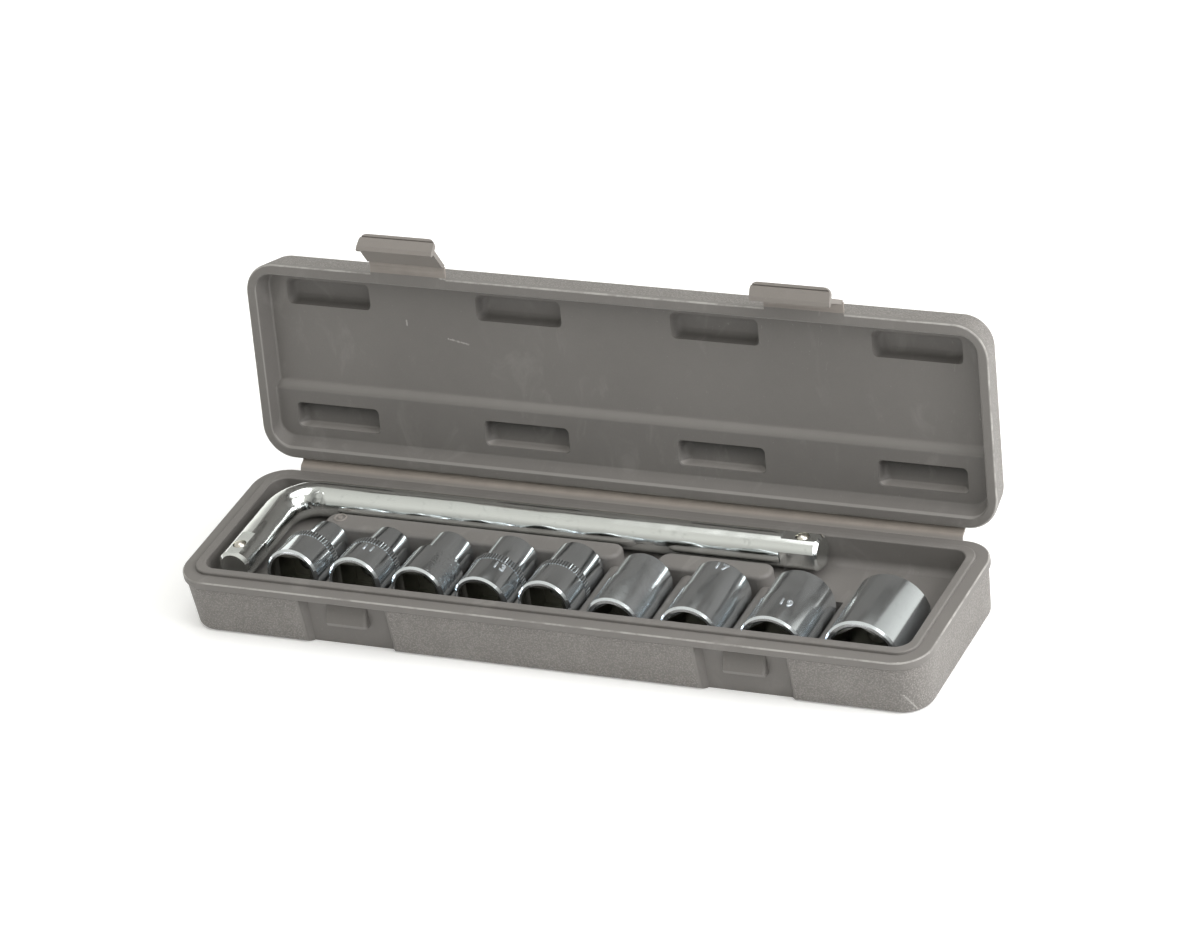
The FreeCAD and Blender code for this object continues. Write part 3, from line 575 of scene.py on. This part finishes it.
def plated_bar(name, tools):
    """Zinc-plated bar: long soft waves in the plating, drawing lines, scored where it was bent."""
    look = Finish(name)
    place = look.place()
    cloud = look.noise(place, size=9 * MM, detail=4.0, roughness=0.6)
    drawn = look.noise(look.stretched(place, (0.05, 1.0, 1.0)), size=0.7 * MM, roughness=0.6)
    long = look.stretched(place, (0.4, 1.0, 1.0))
    wave = look.noise(long, size=14 * MM, detail=2.0, roughness=0.5)
    blotch = look.noise(place, size=3.2 * MM, detail=5.0, roughness=0.7)
    stain = look.ramp(blotch, 0.54, 0.72)
    colour = look.blend(look.times(stain, 0.3), tools.plating, dimmed(tools.plating, 0.6))
    away = look.vector("DISTANCE", place, PINCH, "Value")
    pinched = look.fall(away, 2.0 * MM, 4.8 * MM)
    facets = look.cells(place, size=2.6 * MM)
    scored = look.times(look.ramp(facets, 0.3, 0.7, bottom=0.35, top=0.9), pinched)
    colour = look.blend(scored, colour, dimmed(tools.plating, 0.35))
    normal = look.bump(wave, depth=0.5 * MM)
    normal = look.bump(drawn, 0.006 * MM, normal)
    normal = look.bump(look.times(facets, pinched), 0.55 * MM, normal)
    rough = look.varied(0.08, (cloud, 0.14))
    return look.finish(Base_Color=colour, Metallic=1.0, Roughness=rough, Normal=normal)


def place_on_socket(look, socket):
    """Place in a socket's own frame, its X and its Z, and the distance from the axis."""
    local = look.moved(look.place(), socket_frame(socket).inverted())
    x, y, z = look.parts(local)
    return local, x, z, look.length(look.joined(x, y, 0.0))


def socket_chrome(socket, tools):
    """Chrome on a turned socket: faint rings round the axis, cloudy lustre, darker in the bores."""
    lustre = LUSTRES.get(socket.number, BRIGHT)
    look = Finish("chrome_" + socket.number)
    local, x, z, radius = place_on_socket(look, socket)
    turned = look.noise(look.joined(radius, 0.0, z), size=0.45 * MM, roughness=0.6)
    cloud = look.noise(local, size=5 * MM, detail=5.0, roughness=0.62)
    wave = look.noise(look.stretched(local, (1.0, 1.0, 0.35)), size=9 * MM, detail=2.0)
    cone = (socket.front - socket.far) / STEP_CONE * MM
    outside = look.ramp(z, -cone - 0.1 * MM, 0.0, socket.far / 2 * MM, socket.front / 2 * MM)
    bored = look.ramp(look.less(outside, radius), 1.1 * MM, 1.6 * MM)
    middle, half = (SOCKET_FRONT + SOCKET_FAR) / 2, (SOCKET_FRONT - SOCKET_FAR) / 2
    deep = look.times(bored, look.band(z, middle, half - 1.4 * MM, soft=1.2 * MM))
    blotch = look.noise(local, size=2.6 * MM, detail=5.0, roughness=0.7)
    stain = look.ramp(blotch, 0.52, 0.74)
    grey = dimmed(tools.chrome, lustre.stain_brightness)
    colour = look.blend(look.times(stain, lustre.stain), tools.chrome, grey)
    colour = look.blend(look.times(deep, 0.85), colour, tools.bore)
    rough = look.varied(lustre.roughness, (cloud, lustre.cloudiness))
    rough = look.plus(rough, look.times(deep, 0.18))
    normal = look.bump(wave, depth=lustre.waviness)
    normal = look.bump(turned, 0.004 * MM, normal)
    if socket.number == PITTED:
        side = look.ramp(x, 3.0 * MM, 6.0 * MM)
        belt = look.band(z, 8.0 * MM, half=6.5 * MM, soft=1.5 * MM)
        pits = look.cells(local, size=0.9 * MM, feature="SMOOTH_F1")
        normal = look.bump(look.times(pits, side, belt), 0.14 * MM, normal)
    return look.finish(Base_Color=colour, Metallic=1.0, Roughness=rough, Normal=normal)


def knurled_chrome(socket, tools):
    """Chrome of a knurled band, with painted shade down in its grooves."""
    look = Finish("knurl_" + socket.number)
    local, _, _, radius = place_on_socket(look, socket)
    floor, relief = socket.front / 2 * MM, tools.knurl_relief
    # Painted shade: the chrome darkens from the crests down into the grooves
    crest = look.ramp(radius, floor + 0.1 * relief, floor + 0.7 * relief)
    colour = look.blend(crest, dimmed(tools.chrome, 0.38), tools.chrome)
    rough = look.varied(0.10, (look.noise(local, size=1.2 * MM), 0.2))
    return look.finish(Base_Color=colour, Metallic=1.0, Roughness=rough)


def stamped_metal(name, tools):
    """Matt, finely broken metal of the raised numbers."""
    look = Finish(name)
    place = look.place()
    cloud = look.noise(place, size=0.6 * MM, roughness=0.6)
    colour = look.blend(cloud, dimmed(tools.chrome, 0.75), dimmed(tools.chrome, 0.45))
    normal = look.bump(look.noise(place, size=0.25 * MM, detail=2.0), depth=0.03 * MM)
    rough = look.varied(0.40, (cloud, 0.2))
    return look.finish(Base_Color=colour, Metallic=1.0, Roughness=rough, Normal=normal)


def plain_steel(name, tools):
    """Bright hardened steel of the detent balls and springs."""
    look = Finish(name)
    cloud = look.noise(look.place(), size=1.2 * MM)
    colour = look.blend(cloud, tools.steel, dimmed(tools.steel, 0.8))
    rough = look.varied(0.24, (cloud, 0.1))
    return look.finish(Base_Color=colour, Metallic=1.0, Roughness=rough)


class CaseFinish(bpy.types.PropertyGroup):
    """Colours, films and grain of the case."""

    plastic: FloatVectorProperty(
        name="Plastic", description="Colour of the moulded plastic", subtype="COLOR",
        min=0, max=1, default=(0.175, 0.1655, 0.157))
    # Also the colour of the painted highlights on the rim's edges and on the lid's step
    rubbed: FloatVectorProperty(
        name="Rubbed", description="Colour of rubbed edges and scuffs", subtype="COLOR",
        min=0, max=1, default=(0.46, 0.445, 0.425))
    film: FloatVectorProperty(
        name="Film", description="Colour of the stretched film of the hinge and the latch webs",
        subtype="COLOR", min=0, max=1, default=(0.37, 0.325, 0.29))
    film_reach: FloatProperty(
        name="Film reach", description="Width of the film from its fold into the shell",
        unit="LENGTH", default=3.7 * MM, min=1 * MM)
    film_thickness: FloatProperty(
        name="Film thickness", description="Thickness of the hinge film", unit="LENGTH",
        default=0.8 * MM, min=0.1 * MM)
    film_raggedness: FloatProperty(
        name="Film raggedness", description="How unevenly the films' ends are cut",
        unit="LENGTH", default=0.15 * MM, min=0.0)
    latch_reach: FloatProperty(
        name="Latch film reach", description="Width of a latch's film from its fold",
        unit="LENGTH", default=0.7 * MM, min=0.2 * MM)
    latch_thickness: FloatProperty(
        name="Latch film thickness", description="Thickness of a latch's film", unit="LENGTH",
        default=0.3 * MM, min=0.1 * MM)
    gloss: FloatProperty(
        name="Gloss", description="How strongly the plastic mirrors", default=0.3, min=0, max=1)
    # Scales the paleness of the rim's outer edge, partly rubbed and partly painted highlight, and
    # the painted highlight on its inner edge
    edge_wear_and_highlight: FloatProperty(
        name="Edge wear", description="How pale the outer edge of the rim is rubbed",
        default=0.7, min=0, max=1)
    grain: FloatProperty(
        name="Grain", description="Width of one pebble of the grain outside", unit="LENGTH",
        default=0.75 * MM, min=0.2 * MM)
    grain_depth: FloatProperty(
        name="Grain depth", description="Depth of the grain outside", unit="LENGTH",
        default=0.24 * MM, min=0.0)
    grain_paleness: FloatProperty(
        name="Grain paleness", description="How much paler the grained skin is",
        default=0.27, min=0, max=1)
    # Strength of the painted shade in the grain's grooves and the painted light on its pebbles
    grain_shading: FloatProperty(
        name="Grain contrast", description="How much darker the grain's grooves are",
        default=0.65, min=0, max=1)


class ToolFinish(bpy.types.PropertyGroup):
    """Metals of the wrench and the sockets, their springs, knurls and numbers."""

    chrome: FloatVectorProperty(
        name="Chrome", description="Colour of the sockets' chrome", subtype="COLOR",
        min=0, max=1, default=(0.90, 0.95, 0.99))
    bore: FloatVectorProperty(
        name="Bore", description="Colour of the metal inside the sockets", subtype="COLOR",
        min=0, max=1, default=(0.20, 0.19, 0.15))
    plating: FloatVectorProperty(
        name="Plating", description="Colour of the wrench's plating", subtype="COLOR",
        min=0, max=1, default=(0.88, 0.905, 0.89))
    steel: FloatVectorProperty(
        name="Steel", description="Colour of the detent balls and springs", subtype="COLOR",
        min=0, max=1, default=(0.80, 0.76, 0.68))
    spring_wire: FloatProperty(
        name="Spring wire", description="Thickness of the detent springs' wire", unit="LENGTH",
        default=0.7 * MM, min=0.2 * MM)
    spring_turns: IntProperty(
        name="Spring turns", description="Turns of the detent springs", default=4, min=1)
    knurl_teeth: IntProperty(
        name="Knurl teeth", description="Teeth round a knurled band", default=60, min=12)
    knurl_width: FloatProperty(
        name="Knurl width", description="Length of the teeth along the socket", unit="LENGTH",
        default=3.2 * MM, min=0.5 * MM)
    knurl_relief: FloatProperty(
        name="Knurl relief", description="Height of the teeth", unit="LENGTH",
        default=0.34 * MM, min=0.0)
    number_height: FloatProperty(
        name="Number height", description="Height of the size numbers", unit="LENGTH",
        default=3.4 * MM, min=0.5 * MM)
    number_relief: FloatProperty(
        name="Number relief", description="How far the size numbers stand proud", unit="LENGTH",
        default=0.20 * MM, min=0.0)


class StageLook(bpy.types.PropertyGroup):
    """Floor, light and camera."""

    floor: FloatVectorProperty(
        name="Floor", description="Colour of the floor", subtype="COLOR", min=0, max=1,
        default=(0.96, 0.96, 0.96))
    glow: FloatProperty(
        name="Glow", description="Light that the floor gives of itself", default=0.22, min=0.0)
    tent: FloatVectorProperty(
        name="Tent", description="Colour of the white tent", subtype="COLOR", min=0, max=1,
        default=(1.0, 1.0, 0.94))
    overhead: FloatProperty(
        name="Overhead", description="Brightness of the tent overhead", default=0.58, min=0.0)
    front_lean: FloatProperty(
        name="Front lean", description="How much brighter the tent is in front than behind",
        default=0.3, min=0.0)
    horizon: FloatProperty(
        name="Horizon", description="Brightness of the tent low down", default=0.12, min=0.0)
    left_screen: FloatProperty(
        name="Left screen", description="Brightness of the screen low on the left",
        default=0.5, min=0.0)
    back_screen: FloatProperty(
        name="Back screen", description="Brightness of the screen low behind",
        default=0.86, min=0.0)
    key: FloatProperty(
        name="Key light", description="Power of the soft light in front on the right",
        unit="POWER", default=4.4, min=0.0)
    side: FloatProperty(
        name="Side light", description="Power of the soft light on the right",
        unit="POWER", default=16.8, min=0.0)
    rim: FloatProperty(
        name="Rim light", description="Power of the soft light behind on the right",
        unit="POWER", default=2.8, min=0.0)
    top: FloatProperty(
        name="Top light", description="Power of the soft light overhead", unit="POWER",
        default=8.3, min=0.0)
    lens: FloatProperty(
        name="Lens", description="Focal length of the camera", unit="CAMERA",
        default=162.95, min=10.0)


class SOCKETSET_OT_case(bpy.types.Operator):
    """Finish the base, the lid and the latch flaps"""

    bl_idname = "socket_set.case"
    bl_label = "Case"

    def execute(self, context):
        case = context.scene.case_finish
        coat("case_base", moulded_plastic("case_base_plastic", case))
        coat("case_lid", moulded_plastic("case_lid_plastic", case, lid=True))
        flap = moulded_plastic("latch_plastic", case, grained=False, strained=0.25)
        for side in FLAP_BENDS:
            coat("latch_flap_" + side, flap)
        return {"FINISHED"}


def film_strip(name, film, beside, fold, ways, size):
    """Strip of film as long as a solid, from one body over a fold to the next."""
    low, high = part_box(beside)
    left, right = low.x, high.x
    reach, thickness, raggedness = size
    tips = [fold + reach * way for way in ways]
    shape = bmesh.new()
    bmesh.ops.create_grid(shape, x_segments=FILM_COLUMNS, y_segments=FILM_ROWS, size=1.0)
    for vert in shape.verts:
        side, across, _ = vert.co
        spot = tips[0].lerp(fold, across + 1) if across < 0 else fold.lerp(tips[1], across)
        ragged = raggedness * math.sin(RAGGED_WAVES * across) * side ** RAGGED_POWER
        vert.co = ((left + right) / 2 + side * (right - left) / 2 + ragged, spot.y, spot.z)
    behind = vertices(bmesh.ops.extrude_face_region(shape, geom=shape.faces[:]))
    inward = ways[0].cross(Vector((-1.0, 0.0, 0.0)))
    bmesh.ops.translate(shape, verts=behind, vec=inward * thickness)
    piece = add_piece(closed_mesh(name, shape), film)
    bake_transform(piece)
    return piece


class SOCKETSET_OT_films(bpy.types.Operator):
    """Make the film hinge one strip, bridge the folds of the latches, and finish the webs"""

    bl_idname = "socket_set.films"
    bl_label = "Film hinge and webs"

    def execute(self, context):
        case = context.scene.case_finish
        beige, plastic = Vector(case.film), Vector(case.plastic)

        film = stretched_film("hinge_film", beige, plastic.lerp(beige, 0.2))
        to_base = Vector((0.0, -HINGE_OUT, -HINGE_UP)).normalized()
        to_lid = Vector((0.0, -HINGE_OUT, HINGE_UP)).normalized()
        ways = (to_base, Matrix.Rotation(-LID_OPEN, 3, "X") @ to_lid)
        size = (case.film_reach, case.film_thickness, case.film_raggedness)
        strip = film_strip(
            "hinge_strip", film, "hinge_leaf_base", HINGE, ways, size)
        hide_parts("hinge_leaf_base", "hinge_leaf_lid")

        film = stretched_film("web_film", beige.lerp(plastic, 0.4))
        size = (case.latch_reach, case.latch_thickness, case.film_raggedness)
        outward = (FLAP_FOLD - WEB_FOLD).normalized()
        for side, bend in FLAP_BENDS.items():
            web, flap = "latch_web_" + side, "latch_flap_" + side
            coat(web, film)
            ways = (-outward, outward)
            film_strip("web_film_" + side, film, web, WEB_FOLD, ways, size)
            ways = (-outward, Matrix.Rotation(bend, 3, "X") @ outward)
            film_strip("flap_film_" + side, film, web, FLAP_FOLD, ways, size)
        return {"FINISHED"}


def coil_mesh(name, low, high, tools):
    """Upright coil of wire that fills a box."""
    wire, turns = tools.spring_wire, tools.spring_turns
    steps = COIL_STEPS * turns
    climb = (high.z - low.z - wire) / steps
    shape = bmesh.new()
    bead = standing_bead(shape, wire / 2, (high.x - low.x - wire) / 2)
    bmesh.ops.spin(
        shape, geom=bead, axis=(0, 0, 1), dvec=(0, 0, climb), angle=2 * math.pi * turns,
        steps=steps)
    bmesh.ops.holes_fill(shape, edges=[edge for edge in shape.edges if edge.is_boundary])
    foot = ((low.x + high.x) / 2, (low.y + high.y) / 2, low.z + wire / 2)
    bmesh.ops.translate(shape, verts=shape.verts, vec=foot)
    return closed_mesh(name, shape)


class SOCKETSET_OT_wrench(bpy.types.Operator):
    """Finish the wrench and its detent balls, and coil the springs that the balls squeeze"""

    bl_idname = "socket_set.wrench"
    bl_label = "Wrench"

    def execute(self, context):
        tools = context.scene.tool_finish
        coat("wrench_bar", plated_bar("bar_plating", tools))
        steel = plain_steel("ball_steel", tools)
        for end in ("long", "short"):
            ball, spring = "detent_ball_" + end, "detent_spring_" + end
            coat(ball, steel)
            coat(spring, steel)
            low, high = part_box(spring)
            coil = add_piece(coil_mesh("detent_coil_" + end, low, high, tools), steel)
            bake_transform(coil)
            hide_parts(spring)
        return {"FINISHED"}


class SOCKETSET_OT_sockets(bpy.types.Operator):
    """Finish the sockets"""

    bl_idname = "socket_set.sockets"
    bl_label = "Sockets"

    def execute(self, context):
        tools = context.scene.tool_finish
        for socket in SOCKETS:
            coat("socket_" + socket.number, socket_chrome(socket, tools))
        return {"FINISHED"}


def knurl_mesh(socket, tools):
    """Toothed band round the thick end of a stepped socket, close to its step."""
    radius = socket.front / 2 * MM
    shape = bmesh.new()
    ring = bmesh.ops.create_circle(
        shape, cap_ends=False, segments=len(TOOTH) * tools.knurl_teeth, radius=radius)["verts"]
    for index, vert in enumerate(ring):
        proud = tools.knurl_relief * TOOTH[index % len(TOOTH)]
        vert.co *= (radius + proud) / radius
    bmesh.ops.translate(shape, verts=ring, vec=(0, 0, KNURL_START))
    far = vertices(bmesh.ops.extrude_edge_only(shape, edges=shape.edges[:]))
    bmesh.ops.translate(shape, verts=far, vec=(0, 0, tools.knurl_width))
    for verts, z in ((ring, KNURL_START), (far, KNURL_START + tools.knurl_width)):
        rim = {edge for vert in verts for edge in vert.link_edges if edge.is_boundary}
        for vert in vertices(bmesh.ops.extrude_edge_only(shape, edges=list(rim))):
            vert.co.xy = vert.co.xy.normalized() * (radius - KNURL_ROOT)
            vert.co.z = z
    bmesh.ops.transform(shape, matrix=socket_frame(socket), verts=shape.verts)
    return closed_mesh("knurl_" + socket.number, shape)


class SOCKETSET_OT_knurls(bpy.types.Operator):
    """Add the knurled bands of the stepped sockets"""

    bl_idname = "socket_set.knurls"
    bl_label = "Knurled bands"

    def execute(self, context):
        tools = context.scene.tool_finish
        for socket in SOCKETS:
            if socket.number in KNURLED:
                piece = add_piece(knurl_mesh(socket, tools), knurled_chrome(socket, tools))
                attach(piece, "socket_" + socket.number)
        return {"FINISHED"}


def number_mesh(socket, angle, along, tools):
    """Raised size number bent round a socket, turned from its top and placed from its step."""
    curve = bpy.data.curves.new("number", "FONT")
    curve.body = socket.number
    curve.size = tools.number_height / NUMBER_SHARE
    curve.extrude = tools.number_relief
    curve.bevel_depth = NUMBER_BEVEL * tools.number_relief
    curve.space_character = NUMBER_SPACING
    curve.align_x = "CENTER"
    text = linked("number", curve)
    bpy.context.view_layer.update()
    letters = bpy.data.meshes.new_from_object(text)
    bpy.data.objects.remove(text)
    bpy.data.curves.remove(curve)
    shape = bmesh.new()
    shape.from_mesh(letters)
    bpy.data.meshes.remove(letters)
    radius = (socket.front if along > 0 else socket.far) / 2 * MM
    for vert in shape.verts:
        turn = math.radians(angle) + vert.co.x / radius
        reach = radius + vert.co.z
        vert.co = (reach * math.sin(turn), reach * math.cos(turn), along * MM - vert.co.y)
    bmesh.ops.transform(shape, matrix=socket_frame(socket), verts=shape.verts)
    return closed_mesh("number_" + socket.number, shape)


class SOCKETSET_OT_numbers(bpy.types.Operator):
    """Add the raised size numbers of the sockets"""

    bl_idname = "socket_set.numbers"
    bl_label = "Size numbers"

    def execute(self, context):
        tools = context.scene.tool_finish
        metal = stamped_metal("number_metal", tools)
        for socket in SOCKETS:
            if socket.number in NUMBERS:
                angle, along = NUMBERS[socket.number]
                piece = add_piece(number_mesh(socket, angle, along, tools), metal)
                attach(piece, "socket_" + socket.number)
        return {"FINISHED"}


def mark_mesh():
    """Round moulding mark: a low ring with a dot in it."""
    shape = bmesh.new()
    for reach, radius in MARK_BEADS:
        bead = standing_bead(shape, radius, reach)
        bmesh.ops.spin(
            shape, geom=bead, axis=(0, 0, 1), angle=2 * math.pi, steps=MARK_STEPS,
            use_merge=True)
    bmesh.ops.translate(shape, verts=shape.verts, vec=RIDGE_MARK)
    return closed_mesh("ridge_mark", shape)


class SOCKETSET_OT_mark(bpy.types.Operator):
    """Add the round moulding mark on the ridge"""

    bl_idname = "socket_set.mark"
    bl_label = "Moulding mark"

    def execute(self, context):
        case = context.scene.case_finish
        plastic = moulded_plastic("mark_plastic", case, grained=False, strained=0.3)
        piece = add_piece(mark_mesh(), plastic)
        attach(piece, "base")
        return {"FINISHED"}


def paper_floor(stage):
    """White paper that glows a little."""
    shape = bmesh.new()
    bmesh.ops.create_grid(shape, x_segments=2, y_segments=2, size=FLOOR_HALF)
    mesh = bpy.data.meshes.new("floor")
    shape.to_mesh(mesh)
    shape.free()
    look = Finish("floor_paper")
    paper = look.noise(look.place(), size=0.4)
    colour = look.blend(paper, stage.floor, dimmed(stage.floor, 0.985))
    mesh.materials.append(look.finish(
        Base_Color=colour, Roughness=0.9, Emission_Color=colour, Emission_Strength=stage.glow))
    return linked("floor", mesh)


def tent(stage):
    """White tent, dimmer low down and behind, with bright screens low on the left and behind."""
    world = bpy.data.worlds.new("tent")
    world.use_nodes = True
    sky = Nodes(world.node_tree)
    x, y, z = sky.parts(sky.add("TexCoord", {}).outputs["Generated"])
    dome = sky.ramp(z, 0.0, TENT_SHOULDER, bottom=stage.horizon, top=stage.overhead)
    dome = sky.times(dome, sky.less(1.0, sky.times(y, stage.front_lean)))
    left = sky.most(sky.times(x, -stage.left_screen), 0.0)
    behind = sky.most(sky.times(y, stage.back_screen), 0.0)
    screens = sky.times(sky.fall(z, 0.0, TENT_SHOULDER), sky.plus(left, behind))
    backdrop = world.node_tree.nodes["Background"]
    sky.plug(stage.tent, backdrop.inputs["Color"])
    sky.plug(sky.plus(dome, screens), backdrop.inputs["Strength"])
    return world


def soft_light(name, place, size, power):
    """Square soft box that faces the case."""
    lamp = bpy.data.lights.new(name, "AREA")
    lamp.size = size
    lamp.energy = power
    light = linked(name, lamp)
    light.location = place
    aim = LIGHT_AIM - light.location
    light.rotation_euler = aim.to_track_quat("-Z", "Y").to_euler()


class SOCKETSET_OT_stage(bpy.types.Operator):
    """Add the floor, the light and the camera"""

    bl_idname = "socket_set.stage"
    bl_label = "Stage"

    def execute(self, context):
        scene = context.scene
        stage = scene.stage_look
        paper_floor(stage)
        scene.world = tent(stage)
        for name, (place, size) in LIGHTS.items():
            soft_light(name, place, size, getattr(stage, name))
        lens = bpy.data.cameras.new("camera")
        lens.lens = stage.lens
        lens.sensor_width = CAMERA_SENSOR
        camera = linked("camera", lens)
        camera.location = CAMERA_PLACE
        camera.rotation_euler = tuple(math.radians(angle) for angle in CAMERA_TURN)
        scene.camera = camera
        scene.view_settings.view_transform = "Standard"
        return {"FINISHED"}


SETTINGS = {"case_finish": CaseFinish, "tool_finish": ToolFinish, "stage_look": StageLook}
OPERATORS = (
    SOCKETSET_OT_case,
    SOCKETSET_OT_films,
    SOCKETSET_OT_wrench,
    SOCKETSET_OT_sockets,
    SOCKETSET_OT_knurls,
    SOCKETSET_OT_numbers,
    SOCKETSET_OT_mark,
    SOCKETSET_OT_stage,
)


class SOCKETSET_PT_panel(bpy.types.Panel):
    """Lists the settings and the steps"""

    bl_idname = "SOCKETSET_PT_panel"
    bl_label = "Socket Set"
    bl_space_type = "VIEW_3D"
    bl_region_type = "UI"
    bl_category = "Socket Set"

    def draw(self, context):
        for group in SETTINGS:
            settings = getattr(context.scene, group)
            box = self.layout.box()
            for name in settings.__annotations__:
                box.prop(settings, name)
        for operator in OPERATORS:
            self.layout.operator(operator.bl_idname)


CLASSES = (*SETTINGS.values(), *OPERATORS, SOCKETSET_PT_panel)


def register():
    for cls in CLASSES:
        bpy.utils.register_class(cls)
    for name, group in SETTINGS.items():
        setattr(bpy.types.Scene, name, PointerProperty(type=group))


def unregister():
    for name in SETTINGS:
        delattr(bpy.types.Scene, name)
    for cls in reversed(CLASSES):
        bpy.utils.unregister_class(cls)


def main():
    register()
    bpy.ops.socket_set.case()
    bpy.ops.socket_set.films()
    bpy.ops.socket_set.wrench()
    bpy.ops.socket_set.sockets()
    bpy.ops.socket_set.knurls()
    bpy.ops.socket_set.numbers()
    bpy.ops.socket_set.mark()
    bpy.ops.socket_set.stage()


if __name__ == "__main__":
    main()
